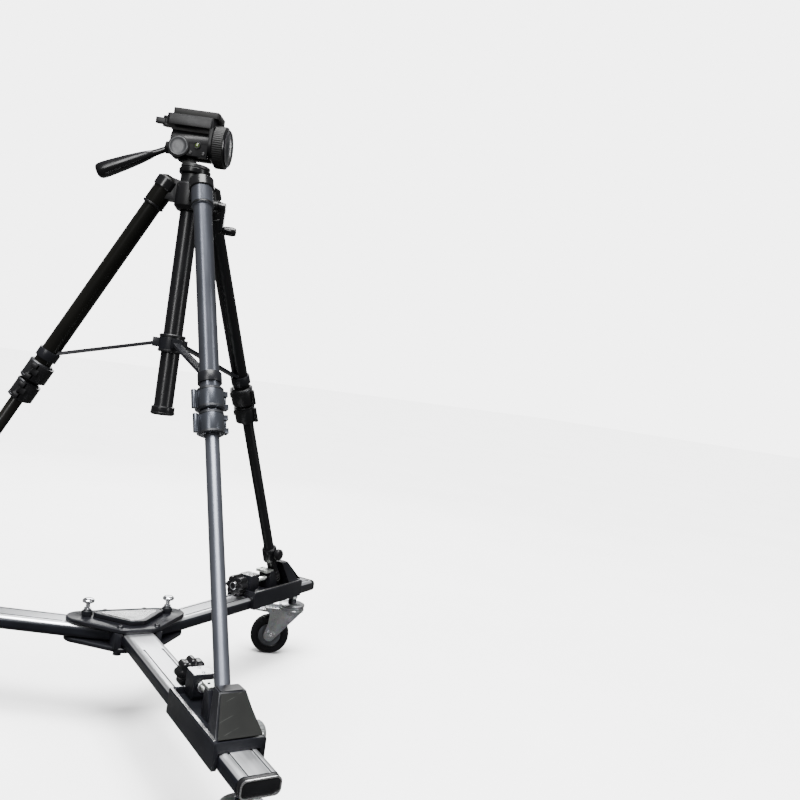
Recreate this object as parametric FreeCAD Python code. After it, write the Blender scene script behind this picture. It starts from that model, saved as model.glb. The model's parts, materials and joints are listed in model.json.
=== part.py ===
import FreeCAD, Part
import math
import os

os.makedirs("parts", exist_ok=True)

V = FreeCAD.Vector

# ---------------------------------------------------------------- driving dimensions (mm)
ARMS = (("front", -90.0), ("right", 30.0), ("left", 150.0))

ARM_TOP = 147.0          # top face of the dolly arms above the floor
ARM_H = 21.0             # arm extrusion height
ARM_W = 48.0             # arm extrusion width
ARM_IN = 20.0            # arm start radius
ARM_OUT = 466.0          # arm end radius, the plug closes it
PLUG_T = 8.0             # visible thickness of the end plug
ARM_BOTTOM = ARM_TOP - ARM_H

PLATE_T = 7.0            # hub plates
HUB_LOBE = 75.0          # radius of the two rear lobes
HUB_R = 24.0             # lobe rounding
PIN_U = 70.0             # pull pin position along the arm
PIN_R = 3.2
RUN = 0.05               # running clearance, radial

WHEEL_R = 37.5           # 75 mm caster wheel
WHEEL_W = 25.0
RIM_R = 21.5
AXLE_R = 4.0
CASTER_U = 438.0         # swivel axis along the arm
TRAIL = 36.0             # wheel axle offset behind the swivel axis
TRAIL_DEG = 152.0        # heading of the trail, same for the three casters
PEDAL_T = 0.0            # brake pedal pivot, along the trail
PEDAL_Z = 82.5
PEDAL_PIN_R = 2.2
STEM_R = 5.0
RACE_R = 25.0
RACE_Z = 97.5            # underside of the fixed race, above the fork

FOOT_U = 355.0           # leg axis crosses this radius at FOOT_Z
FOOT_Z = 177.0
APEX_Z = 882.0           # where the three leg axes meet on the hub axis
CAR_IN = 262.0           # leg carrier, inner end
CAR_OUT = 415.0
CAR_WALL = 5.6
CAR_FLOOR = 4.2          # floor of the carrier over the arm
CAR_RIM = 159.0          # top of the carrier's side rims
BLOCK_TOP = 197.0        # top of the outer foot block
SLIP = 0.4               # gap between the carrier and the arm
SCREW_Z = 170.0
POST_U = 281.0           # middle of the screw post's head
KNOB_U = 236.0           # inner face of the clamp knob
KNOB_R = 19.0
JAW_TOP = 184.0
LOCK_U = 368.0           # side lock knob of the carrier
LOCK_Z = 141.0
LOCK_R = 14.5
SCREW_R = 4.5

LEG_R = 13.0             # upper leg tube radius
MID_R = 11.5
LOW_R = 9.25
SLEEVE_R = 15.5
W_TOP = 78.0             # distances along the leg axis from the apex
W_SLEEVE = 122.0
W_TUBE_END = 412.0
W_MID_END = 450.0
W_A0, W_A1 = 405.0, 436.0
W_B0, W_B1 = 438.0, 469.0
W_LOW0 = 318.0           # hidden top end of the lower tube
W_FOOT = 734.0           # top of the foot collar
W_BRACE = 391.0
FOOT_TIP_Z = 153.0

GUIDE_R = 14.0
COL_R = 11.0
COL_BOTTOM = 467.0
BRACE_Z = 574.0
CROWN_Z0 = 772.0
CROWN_Z1 = 812.0
COLLAR_TOP = 825.5
CRANK_Z = 785.0
CRANK_DEG = -30.0

HEAD_DEG = -34.0         # heading of the head's side axis
PAN_Z = 834.0            # top of the column flange
TILT_X = -24.0           # tilt axis, ahead of the pan axis on the handle side
TILT_Z = 862.0
SIDE_Z = 872.0
HANDLE_DROP = 26.0       # handle slope below level, degrees
HANDLE_X = -36.5
HANDLE_Z = 864.5
PLAT_Z0 = 892.5
PLAT_Z1 = 908.0
QR_Z1 = 917.0
STUD_R = 3.175
STUD_H = 5.0

LEG_RUN = math.hypot(FOOT_U, APEX_Z - FOOT_Z)
LEG_SIN = FOOT_U / LEG_RUN
LEG_COS = (APEX_Z - FOOT_Z) / LEG_RUN

parts = {}


# ---------------------------------------------------------------- helpers
def box(x0, x1, y0, y1, z0, z1):
    return Part.makeBox(x1 - x0, y1 - y0, z1 - z0, V(x0, y0, z0))


def cyl(r, p, d, h):
    return Part.makeCylinder(r, h, V(*p), V(*d))


def cone(r0, r1, p, d, h):
    return Part.makeCone(r0, r1, h, V(*p), V(*d))


def tube(r_out, r_in, p, d, h):
    return cyl(r_out, p, d, h).cut(cyl(r_in, p, d, h))


def fuse(*shapes):
    out = shapes[0]
    for s in shapes[1:]:
        out = out.fuse(s)
    return out.removeSplitter()


def prism_xy(points, z0, z1):
    ring = [V(x, y, z0) for x, y in points]
    face = Part.Face(Part.makePolygon(ring + ring[:1]))
    return face.extrude(V(0, 0, z1 - z0))


def prism_xz(points, y0, y1):
    ring = [V(x, y0, z) for x, z in points]
    face = Part.Face(Part.makePolygon(ring + ring[:1]))
    return face.extrude(V(0, y1 - y0, 0))


def turn(profile, p=(0, 0, 0), d=(0, 0, 1)):
    """Revolve (radius, height) pairs about the local Z axis, then aim it along d from p."""
    ring = [V(r, 0, h) for r, h in profile]
    face = Part.Face(Part.makePolygon(ring + ring[:1]))
    solid = face.revolve(V(0, 0, 0), V(0, 0, 1), 360)
    solid.Placement = FreeCAD.Placement(V(*p), FreeCAD.Rotation(V(0, 0, 1), V(*d)))
    return solid


def rounded_slab(x0, x1, y0, y1, z0, z1, r):
    body = box(x0, x1, y0, y1, z0, z1)
    edges = [e for e in body.Edges if abs(e.tangentAt(e.FirstParameter).z) > 0.9]
    return body.makeFillet(r, edges)


def round_hull(centres, r, z0, z1):
    """Slab whose outline is the hull of equal circles, centres given counter-clockwise."""
    out = prism_xy(centres, z0, z1)
    n = len(centres)
    for i in range(n):
        ax, ay = centres[i]
        bx, by = centres[(i + 1) % n]
        length = math.hypot(bx - ax, by - ay)
        ox = (by - ay) / length * r
        oy = -(bx - ax) / length * r
        quad = [(ax, ay), (ax + ox, ay + oy), (bx + ox, by + oy), (bx, by)]
        out = out.fuse(prism_xy(quad, z0, z1))
        out = out.fuse(cyl(r, (ax, ay, z0), (0, 0, 1), z1 - z0))
    return out.removeSplitter()


def placed(shape, placement):
    out = shape.copy()
    out.Placement = placement.multiply(out.Placement)
    return out


def spin_z(deg, at=(0, 0, 0)):
    return FreeCAD.Placement(V(*at), FreeCAD.Rotation(V(0, 0, 1), deg))


def leg_frame(deg):
    """Local Z runs down the leg from the apex, local X is its outer side."""
    m = FreeCAD.Matrix()
    m.A11, m.A21, m.A31 = LEG_COS, 0.0, LEG_SIN
    m.A12, m.A22, m.A32 = 0.0, -1.0, 0.0
    m.A13, m.A23, m.A33 = LEG_SIN, 0.0, -LEG_COS
    m.A34 = APEX_Z
    return spin_z(deg).multiply(FreeCAD.Placement(m))


# ---------------------------------------------------------------- dolly hub
def hub_plate(z0, z1):
    c = HUB_LOBE * math.cos(math.radians(30))
    s = HUB_LOBE * math.sin(math.radians(30))
    plate = round_hull([(-14, -14), (14, -14), (c, s), (-c, s)], HUB_R, z0, z1)
    rims = [e for e in plate.Edges if e.BoundBox.ZLength < 0.01]
    return plate.makeFillet(2.2, rims)


def at_arm(deg, u, v=0.0):
    a = math.radians(deg)
    return (u * math.cos(a) - v * math.sin(a), u * math.sin(a) + v * math.cos(a))


def hub_top():
    z = ARM_TOP + PLATE_T
    top = hub_plate(ARM_TOP, z)
    for deg in (30.0, 150.0):
        x, y = at_arm(deg, PIN_U)
        collar = turn([(0, -1), (6.8, -1), (6.8, 7.5), (5.6, 9.5), (0, 9.5)], (x, y, z))
        top = top.fuse(collar)
        top = top.cut(cyl(PIN_R + RUN, (x, y, ARM_TOP - 1), (0, 0, 1), 40))
    for x, y in ((27, -27), (-27, -27), (30, 51), (-30, 51)):
        screw = turn([(0, -1), (4.6, -1), (4.6, 0.6), (3.6, 1.4), (0, 1.4)], (x, y, z))
        top = top.fuse(screw)
    return top.removeSplitter()


def hub_bottom():
    z = ARM_BOTTOM - PLATE_T
    low = hub_plate(z, ARM_BOTTOM)
    for sx in (-1, 1):
        wall = prism_xy([(sx * 24.2, -33), (sx * 34, -33), (sx * 36, -13), (sx * 24.2, -13)],
                        ARM_BOTTOM - 1, ARM_TOP)
        low = low.fuse(wall)
    low = low.fuse(cyl(11.0, (0, 0, ARM_BOTTOM - 1), (0, 0, 1), ARM_H + 1))
    for x, y in ((27, -27), (-27, -27), (30, 51), (-30, 51)):
        low = low.fuse(cyl(6.0, (x, y, z - 4.0), (0, 0, 1), 5.0))
    return low.removeSplitter()


parts["hub_top_plate"] = hub_top()
parts["hub_bottom_plate"] = hub_bottom()

badge_z = ARM_TOP + PLATE_T
badge_ring = [(-6, -11), (6, -11), (42, 29), (-42, 29)]
badge = round_hull(badge_ring, 10.0, badge_z, badge_z + 7.0)
groove = round_hull(badge_ring, 7.5, badge_z + 5.5, badge_z + 8.0)
parts["hub_badge"] = badge.cut(groove)


# ---------------------------------------------------------------- arms with their caster stems
def arm_section(u0, u1, half, z0, z1, r):
    body = box(u0, u1, -half, half, z0, z1)
    edges = [e for e in body.Edges if abs(e.tangentAt(e.FirstParameter).x) > 0.9]
    return body.makeFillet(r, edges)


def make_arm():
    arm = arm_section(ARM_IN, ARM_OUT, ARM_W / 2, ARM_BOTTOM, ARM_TOP, 8.0)
    arm = arm.cut(box(95, ARM_OUT + 1, -19, 19, ARM_BOTTOM + 3, ARM_TOP - 4))
    for v in (-13.0, 13.0):
        arm = arm.cut(box(100, ARM_OUT + 1, v - 1.5, v + 1.5, ARM_TOP - 1.6, ARM_TOP + 1))
    arm = arm.fuse(cyl(13.0, (CASTER_U, 0, ARM_BOTTOM + 1), (0, 0, 1), ARM_H - 3.0))
    race = turn([(0, RACE_Z), (RACE_R, RACE_Z), (RACE_R, RACE_Z + 3.5), (RACE_R - 4, RACE_Z + 5.5),
                 (0, RACE_Z + 5.5)], (CASTER_U, 0, 0))
    stem = cyl(STEM_R, (CASTER_U, 0, RACE_Z - 8), (0, 0, 1), 48.0)
    head = cyl(8.5, (CASTER_U, 0, RACE_Z - 11.5), (0, 0, 1), 4.5)
    nut_ring = []
    for i in range(6):
        a = math.radians(60 * i + 30)
        nut_ring.append((CASTER_U + 9.0 * math.cos(a), 9.0 * math.sin(a)))
    nut = prism_xy(nut_ring, RACE_Z + 5.0, RACE_Z + 13.0)
    spacer = cyl(6.5, (CASTER_U, 0, RACE_Z + 12.5), (0, 0, 1), ARM_BOTTOM - RACE_Z - 14.0)
    washer = cyl(11.0, (CASTER_U, 0, ARM_BOTTOM - 1.8), (0, 0, 1), 2.0)
    return fuse(arm, race, stem, head, nut, spacer, washer)


arm_shape = make_arm()
front_arm = arm_shape
pin_hole = cyl(PIN_R + RUN, (PIN_U, 0, ARM_TOP - 15), (0, 0, 1), 20)
side_arm = arm_shape.cut(pin_hole)
for name, deg in ARMS:
    source = front_arm if name == "front" else side_arm
    parts["arm_" + name] = placed(source, spin_z(deg))

plug = arm_section(ARM_OUT, ARM_OUT + PLUG_T, ARM_W / 2 - 0.4, ARM_BOTTOM + 0.4, ARM_TOP - 0.4, 7.5)
plug = plug.fuse(box(ARM_OUT - 8, ARM_OUT + 1, -18.9, 18.9, ARM_BOTTOM + 3.1, ARM_TOP - 4.1))
plug = plug.removeSplitter()
parts["arm_end_plugs"] = Part.makeCompound([placed(plug, spin_z(deg)) for _, deg in ARMS])


# ---------------------------------------------------------------- pull pins
def pull_pin():
    z = ARM_TOP + PLATE_T
    head = [(0, 19), (4.0, 19), (8.2, 21), (8.6, 22.6), (7.4, 24.4), (4.0, 25.4), (0, 25.6)]
    pin = turn(head, (0, 0, z))
    pin = pin.fuse(turn([(0, 10), (5.2, 10), (5.2, 12.2), (PIN_R, 13), (0, 13)], (0, 0, z)))
    pin = pin.fuse(cyl(PIN_R, (0, 0, z - 17), (0, 0, 1), 38))
    return pin.removeSplitter()


for name, deg in ARMS[1:]:
    x, y = at_arm(deg, PIN_U)
    parts["pull_pin_" + name] = placed(pull_pin(), FreeCAD.Placement(V(x, y, 0), FreeCAD.Rotation()))


# ---------------------------------------------------------------- casters, local X is the trail
def caster_fork():
    z = RACE_Z - 0.3
    plate = turn([(0, z - 6.2), (20, z - 6.2), (24.5, z - 4), (24.5, z), (0, z)])
    top = z - 5.2
    profile = [(-23, top), (50, top), (49, top - 5), (40, top - 13), (41, 62), (46.6, 41), (27, 31)]
    out = plate
    for y0 in (-16.5, 14.0):
        cheek = prism_xz(profile, y0, y0 + 2.5)
        cheek = cheek.fuse(cyl(11.0, (TRAIL, y0, WHEEL_R), (0, 1, 0), 2.5))
        out = out.fuse(cheek)
        out = out.cut(cyl(PEDAL_PIN_R + RUN, (PEDAL_T, y0 - 1, PEDAL_Z), (0, 1, 0), 5))
    bridge = box(-23, 22, -16.5, 16.5, top - 2.5, top)
    out = out.fuse(bridge)
    out = out.cut(cyl(STEM_R + RUN, (0, 0, 80), (0, 0, 1), 30))
    out = out.cut(cyl(9.2, (0, 0, 80), (0, 0, 1), z - 6.2 - 80))
    out = out.fuse(cyl(AXLE_R, (TRAIL, -18, WHEEL_R), (0, 1, 0), 36))
    for y0 in (-20.5, 16.5):
        out = out.fuse(cyl(6.5, (TRAIL, y0, WHEEL_R), (0, 1, 0), 4.0))
    return out.removeSplitter()


def wheel_parts():
    h = WHEEL_W / 2
    tyre = turn([(RIM_R, -h + 1), (RIM_R, h - 1), (WHEEL_R - 4, h), (WHEEL_R - 1, h - 2.5),
                 (WHEEL_R, h - 6), (WHEEL_R, -h + 6), (WHEEL_R - 1, -h + 2.5), (WHEEL_R - 4, -h)],
                (TRAIL, 0, WHEEL_R), (0, 1, 0))
    bore = AXLE_R + RUN
    rim = turn([(bore, -h - 0.8), (8, -h - 0.8), (8, -h + 4), (11, -h + 4), (12, -h + 0.5),
                (20, -h + 0.5), (RIM_R, -h + 1), (RIM_R, h - 1), (20, h - 0.5), (12, h - 0.5),
                (11, h - 4), (8, h - 4), (8, h + 0.8), (bore, h + 0.8)],
               (TRAIL, 0, WHEEL_R), (0, 1, 0))
    return tyre, rim


def brake_pedal():
    side = [(-6, 80.4), (-6, 84.0), (10, 84.6), (24, 87.2), (60, 87.2), (74, 90), (76, 86.4),
            (72, 82.6), (70, 84.2), (61, 83.4), (46, 82.4), (30, 80.6), (0, 79.6)]
    pedal = prism_xz(side, -13.0, 13.0)
    pedal = pedal.fuse(cyl(PEDAL_PIN_R, (PEDAL_T, -17.5, PEDAL_Z), (0, 1, 0), 35.0))
    for x in (52, 57, 62):
        rib = cyl(1.1, (x, -11, 87.2 + max(0.0, x - 60) * 0.215), (0, 1, 0), 22)
        pedal = pedal.fuse(rib)
    return pedal.removeSplitter()


fork_shape = caster_fork()
tyre_shape, rim_shape = wheel_parts()
brake_shape = brake_pedal()
for name, deg in ARMS:
    x, y = at_arm(deg, CASTER_U)
    where = spin_z(TRAIL_DEG, (x, y, 0))
    parts["caster_fork_" + name] = placed(fork_shape, where)
    parts["caster_tyre_" + name] = placed(tyre_shape, where)
    parts["caster_rim_" + name] = placed(rim_shape, where)
    parts["caster_brake_" + name] = placed(brake_shape, where)


# ---------------------------------------------------------------- leg carriers, local X runs out
def carrier():
    half = ARM_W / 2 + SLIP
    z_seat = ARM_TOP + SLIP
    floor = z_seat + CAR_FLOOR
    wide = half + CAR_WALL
    body = box(CAR_IN, CAR_OUT, -wide, wide, ARM_BOTTOM + 3, CAR_RIM)
    edges = [e for e in body.Edges
             if abs(e.tangentAt(e.FirstParameter).x) > 0.9 and e.CenterOfMass.z > ARM_TOP]
    body = body.makeFillet(2.4, edges)
    body = body.cut(box(CAR_IN - 1, CAR_OUT + 1, -half, half, ARM_BOTTOM, z_seat))
    body = body.cut(rounded_slab(CAR_IN + 4, CAR_OUT - 6, -25, 25, floor, CAR_RIM + 1, 7.0))
    body = body.fuse(foot_block(floor))
    body = body.fuse(screw_post(floor))
    body = body.cut(cyl(SCREW_R + RUN, (POST_U - 20, 0, SCREW_Z), (1, 0, 0), 40))
    body = body.cut(cyl(4.0 + RUN, (LOCK_U, half - 1, LOCK_Z), (0, 1, 0), 12))
    return body.removeSplitter()


def foot_block(floor):
    """Tapered block whose inner face leans with the leg and whose outer face slopes to the rim."""
    z0 = floor - 1
    lean = (BLOCK_TOP - z0) * LEG_SIN / LEG_COS
    low = [V(382, -26, z0), V(413, -29, z0), V(413, 29, z0), V(382, 26, z0)]
    high = [V(382 - lean, -15, BLOCK_TOP), V(377, -16, BLOCK_TOP),
            V(377, 16, BLOCK_TOP), V(382 - lean, 15, BLOCK_TOP)]
    low_wire = Part.makePolygon(low + low[:1])
    high_wire = Part.makePolygon(high + high[:1])
    return Part.makeLoft([low_wire, high_wire], True, True)


def screw_post(floor):
    head = rounded_slab(POST_U - 13, POST_U + 13, -13.5, 13.5, SCREW_Z - 12, SCREW_Z + 14, 2.0)
    foot = prism_xz([(POST_U - 16, floor - 1), (POST_U + 6, floor - 1), (POST_U + 12, SCREW_Z - 6),
                     (POST_U - 11, SCREW_Z - 6)], -11, 11)
    return head.fuse(foot)


def clamp_jaw():
    """Block pushed by the screw, its outer face leaning with the leg and notched round it."""
    z0 = ARM_TOP + SLIP + CAR_FLOOR + 0.3
    slope = LEG_SIN / LEG_COS
    top = JAW_TOP
    reach = 355.5
    jaw = prism_xz([(329, z0), (reach, z0), (reach - (top - z0) * slope, top), (329, top)], -13.5, 13.5)
    leg_hole = Part.makeCylinder(12.2, 140, V(0, 0, (APEX_Z - 220) / LEG_COS), V(0, 0, 1))
    jaw = jaw.cut(placed(leg_hole, leg_frame(0)))
    jaw = jaw.cut(cyl(SCREW_R + RUN, (320, 0, SCREW_Z), (1, 0, 0), 14.5))
    cap = rounded_slab(316, 337, -12.0, 12.0, top - 1.5, top + 2.5, 2.0)
    neck = box(327, 331, -10, 10, SCREW_Z + 6, top)
    return fuse(jaw, cap, neck)


def clamp_knob():
    out = turn([(0, 0), (14, 0), (KNOB_R - 1.5, 2), (KNOB_R, 4), (KNOB_R, 15), (KNOB_R - 2, 19), (12, 20),
                (0, 20)], (KNOB_U, 0, SCREW_Z), (1, 0, 0))
    for i in range(8):
        a = math.radians(45 * i)
        y = (KNOB_R + 5.0) * math.cos(a)
        z = SCREW_Z + (KNOB_R + 5.0) * math.sin(a)
        out = out.cut(cyl(7.0, (KNOB_U - 1, y, z), (1, 0, 0), 22))
    out = out.fuse(cone(9.5, 7.5, (KNOB_U + 19.5, 0, SCREW_Z), (1, 0, 0), 8.0))
    out = out.fuse(cyl(SCREW_R, (KNOB_U + 10, 0, SCREW_Z), (1, 0, 0), 334.0 - KNOB_U - 10))
    out = out.fuse(turn([(0, 0), (7, 0), (8, 1.0), (8, 3), (0, 3)], (KNOB_U - 1.4, 0, SCREW_Z), (1, 0, 0)))
    return out.removeSplitter()


def carrier_lock():
    v0 = ARM_W / 2 + SLIP + CAR_WALL + 0.5
    knob = turn([(0, 0), (8, 0), (LOCK_R, 3), (LOCK_R, 13), (LOCK_R - 2, 16), (0, 17)],
                (LOCK_U, v0, LOCK_Z), (0, 1, 0))
    for i in range(20):
        a = math.radians(18 * i)
        x = LOCK_U + (LOCK_R + 0.4) * math.cos(a)
        z = LOCK_Z + (LOCK_R + 0.4) * math.sin(a)
        knob = knob.cut(cyl(1.0, (x, v0 + 3.5, z), (0, 1, 0), 20))
    knob = knob.fuse(cyl(4.0, (LOCK_U, v0 - 5.5, LOCK_Z), (0, 1, 0), 8))
    return knob.removeSplitter()


carrier_shape = carrier()
jaw_shape = clamp_jaw()
knob_shape = clamp_knob()
lock_shape = carrier_lock()
for name, deg in ARMS:
    parts["carrier_" + name] = placed(carrier_shape, spin_z(deg))
    parts["clamp_jaw_" + name] = placed(jaw_shape, spin_z(deg))
    parts["clamp_knob_" + name] = placed(knob_shape, spin_z(deg))
    parts["carrier_lock_" + name] = placed(lock_shape, spin_z(deg))


# ---------------------------------------------------------------- tripod legs, local Z runs down
def leg_upper():
    outer = turn([(0, W_TOP - 8), (8, W_TOP - 7), (14, W_TOP - 3), (17.2, W_TOP + 3), (17.2, W_TOP + 9),
                  (SLEEVE_R, W_TOP + 14), (SLEEVE_R, W_SLEEVE), (LEG_R, W_SLEEVE + 1.5),
                  (LEG_R, W_TUBE_END), (0, W_TUBE_END)])
    bore = cyl(LEG_R - 1.6, (0, 0, W_TOP + 12), (0, 0, 1), W_TUBE_END)
    shell = outer.cut(bore)
    mid = tube(MID_R, LOW_R + 0.35, (0, 0, 370), (0, 0, 1), W_MID_END - 370)
    groove = tube(SLEEVE_R + 1, SLEEVE_R - 0.8, (0, 0, W_SLEEVE - 4), (0, 0, 1), 1.6)
    return shell.fuse(mid).cut(groove).removeSplitter()


def collar(r_out, r_high, r_low, w0, w_step, w1):
    ring = turn([(r_high, w0), (r_out - 1.5, w0), (r_out, w0 + 1.5), (r_out, w1 - 1.5),
                 (r_out - 1.5, w1), (r_low, w1), (r_low, w_step), (r_high, w_step)])
    for w in (w0 + 3.0, w1 - 10.0):
        lug = box(-4.5, 4.5, -r_out - 5.5, -r_out + 2.5, w, w + 7.0)
        ring = ring.fuse(lug)
    ring = ring.cut(cyl(1.5 + RUN, (0, -r_out - 2.2, w0 + 2), (0, 0, 1), w1 - w0 - 4))
    return ring.removeSplitter()


def lever(r_out, w0, w1):
    """Curved lever round the inner side, hinged on the -Y side."""
    r0 = r_out + 0.4
    arc = tube(r0 + 3.2, r0, (0, 0, w0 + 3), (0, 0, 1), w1 - w0 - 6)
    half = box(-40, -0.5, -40, 40, w0, w1)
    arc = arc.common(half)
    arc = arc.cut(box(-6, 1, -r0 - 4, -r0 + 9, w0, w1))
    tip = cyl(3.4, (-1.6, r0 + 4.6, w0 + 3), (0, 0, 1), w1 - w0 - 6)
    mid = (w0 + w1) / 2
    web = box(-9.5, 0, -r_out - 3.9, -r_out + 3.0, mid - 5.0, mid + 3.0)
    pin = cyl(1.5, (0, -r_out - 2.2, w0 + 3.2), (0, 0, 1), w1 - w0 - 6.4)
    eye = cyl(2.1, (0, -r_out - 2.2, mid - 5.0), (0, 0, 1), 8.0)
    web = web.cut(cyl(r_out + 0.3, (0, 0, mid - 6), (0, 0, 1), 10))
    return fuse(arc, tip, web, eye, pin)


def leg_lower(with_collar):
    w_tip = (APEX_Z - FOOT_TIP_Z) / LEG_COS
    shaft = tube(LOW_R, LOW_R - 1.4, (0, 0, W_LOW0), (0, 0, 1), w_tip - 30 - W_LOW0)
    foot = turn([(0, w_tip - 36), (LOW_R - 1.4, w_tip - 36), (LOW_R - 1.4, w_tip - 30),
                 (LOW_R + 0.6, w_tip - 30), (11.0, w_tip - 26), (11.0, w_tip - 8), (9.0, w_tip - 4.5),
                 (5.0, w_tip - 3.5), (0, w_tip - 3.5)])
    leg = shaft.fuse(foot)
    if with_collar:
        ring = turn([(LOW_R, W_FOOT), (12.4, W_FOOT), (13.6, W_FOOT + 2), (14.2, W_FOOT + 24),
                     (13.2, W_FOOT + 26), (LOW_R, W_FOOT + 26)])
        knob = turn([(0, 0), (8.0, 0), (10.5, 2), (10.5, 7.5), (8.5, 10), (0, 10.5)],
                    (0, 14.6, W_FOOT + 11), (0, 1, 0))
        hub = cyl(4.5, (0, LOW_R + 0.5, W_FOOT + 11), (0, 1, 0), 7.0)
        leg = fuse(leg, ring, hub, knob)
    return leg.removeSplitter()


upper_shape = leg_upper()
collars_shape = Part.makeCompound([
    collar(17.0, LEG_R, MID_R, W_A0, W_TUBE_END, W_A1),
    collar(15.8, MID_R, LOW_R + RUN, W_B0, W_MID_END, W_B1),
])
lever_a = lever(17.0, W_A0, W_A1)
lever_b = lever(15.8, W_B0, W_B1)
leg_solids = []
for name, deg in ARMS:
    frame = leg_frame(deg)
    parts["leg_upper_" + name] = placed(upper_shape, frame)
    parts["leg_collars_" + name] = placed(collars_shape, frame)
    parts["upper_lever_" + name] = placed(lever_a, frame)
    parts["lower_lever_" + name] = placed(lever_b, frame)
    parts["leg_lower_" + name] = placed(leg_lower(name != "front"), frame)
    leg_solids.append(parts["leg_upper_" + name])


# ---------------------------------------------------------------- crown, guide tube, brace
def crown():
    body = turn([(0, CROWN_Z0), (19, CROWN_Z0), (24, CROWN_Z0 + 6), (24, CROWN_Z1 - 3),
                 (21, CROWN_Z1), (19.5, CROWN_Z1 + 1), (19.5, COLLAR_TOP - 1), (18.5, COLLAR_TOP),
                 (0, COLLAR_TOP)])
    for _, deg in ARMS:
        lug = prism_xz([(8, 784), (44, 784), (56, 790), (50, 808), (40, 819), (8, 812)], -11, 11)
        body = body.fuse(placed(lug, spin_z(deg)))
    boss = placed(cyl(10.0, (12, 0, CRANK_Z), (1, 0, 0), 29), spin_z(CRANK_DEG))
    body = body.fuse(boss)
    for solid in leg_solids:
        body = body.cut(solid)
    body = body.cut(cyl(GUIDE_R, (0, 0, CROWN_Z0 - 1), (0, 0, 1), 29.0))
    body = body.cut(cyl(COL_R + RUN, (0, 0, CROWN_Z0), (0, 0, 1), 80))
    crank_bore = placed(cyl(4.0 + RUN, (27, 0, CRANK_Z), (1, 0, 0), 20), spin_z(CRANK_DEG))
    body = body.cut(crank_bore)
    solids = sorted(body.Solids, key=lambda s: -s.Volume)
    return solids[0]


parts["crown"] = crown()

guide = turn([(0, COL_BOTTOM), (15.5, COL_BOTTOM), (17, COL_BOTTOM + 2), (17, COL_BOTTOM + 12),
              (GUIDE_R, COL_BOTTOM + 13.5), (GUIDE_R, CROWN_Z0 + 28), (0, CROWN_Z0 + 28)])
guide = guide.cut(cyl(12.0, (0, 0, COL_BOTTOM + 8), (0, 0, 1), 400))
parts["guide_tube"] = guide


def brace():
    out = turn([(GUIDE_R, BRACE_Z - 13.5), (17.5, BRACE_Z - 13.5), (18.5, BRACE_Z - 12),
                (18.5, BRACE_Z + 12), (17.5, BRACE_Z + 13.5), (GUIDE_R, BRACE_Z + 13.5)])
    z_leg = APEX_Z - W_BRACE * LEG_COS
    u_leg = W_BRACE * LEG_SIN
    for _, deg in ARMS:
        lug = box(15, 27, -7, 7, BRACE_Z - 7, BRACE_Z + 7)
        strip = prism_xz([(20, BRACE_Z + 2.4), (20, BRACE_Z - 2.4),
                          (u_leg - 8, z_leg - 1.0), (u_leg - 8, z_leg + 3.8)], -6, 6)
        band = tube(LEG_R + 2.8, LEG_R, (0, 0, W_BRACE - 7), (0, 0, 1), 14.0)
        out = out.fuse(placed(lug, spin_z(deg)))
        out = out.fuse(placed(strip, spin_z(deg)))
        out = out.fuse(placed(band, leg_frame(deg)))
        out = out.cut(placed(cyl(LEG_R, (0, 0, 300), (0, 0, 1), 180), leg_frame(deg)))
    out = out.cut(cyl(GUIDE_R, (0, 0, 500), (0, 0, 1), 150))
    return out.removeSplitter()


parts["center_brace"] = brace()

column = turn([(0, 545), (COL_R, 545), (COL_R, 826), (22, 826), (23, 827.5), (23, PAN_Z - 1),
               (22, PAN_Z), (0, PAN_Z)])
column = column.cut(cyl(COL_R - 2.0, (0, 0, 540), (0, 0, 1), 280))
parts["center_column"] = column


def crank():
    shaft = cyl(4.0, (28, 0, CRANK_Z), (1, 0, 0), 20)
    arm = box(46, 51.5, -6, 6, CRANK_Z - 33, CRANK_Z)
    arm = arm.fuse(cyl(7.5, (46, 0, CRANK_Z), (1, 0, 0), 5.5))
    arm = arm.fuse(cyl(6.0, (46, 0, CRANK_Z - 33), (1, 0, 0), 5.5))
    grip = turn([(0, 0), (4.5, 0), (6.5, 3), (7.0, 15), (5.5, 20), (0, 21)],
                (51, 0, CRANK_Z - 33), (1, 0, 0))
    hub = cyl(8.5, (41.4, 0, CRANK_Z), (1, 0, 0), 5.0)
    return fuse(shaft, arm, grip, hub)


parts["crank"] = placed(crank(), spin_z(CRANK_DEG))


# ---------------------------------------------------------------- pan head, local X is its side
def pan_base():
    base = turn([(0, PAN_Z + 0.3), (20, PAN_Z + 0.3), (21, PAN_Z + 1.5), (20, PAN_Z + 6), (0, PAN_Z + 6)])
    lug = prism_xz([(-18, PAN_Z + 5), (6, PAN_Z + 5), (TILT_X + 9.5, TILT_Z), (TILT_X - 9.5, TILT_Z)], -7, 7)
    eye = cyl(9.5, (TILT_X, -7, TILT_Z), (0, 1, 0), 14)
    out = fuse(base, lug, eye)
    return out.cut(cyl(4.0 + RUN, (TILT_X, -20, TILT_Z), (0, 1, 0), 40))


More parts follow.
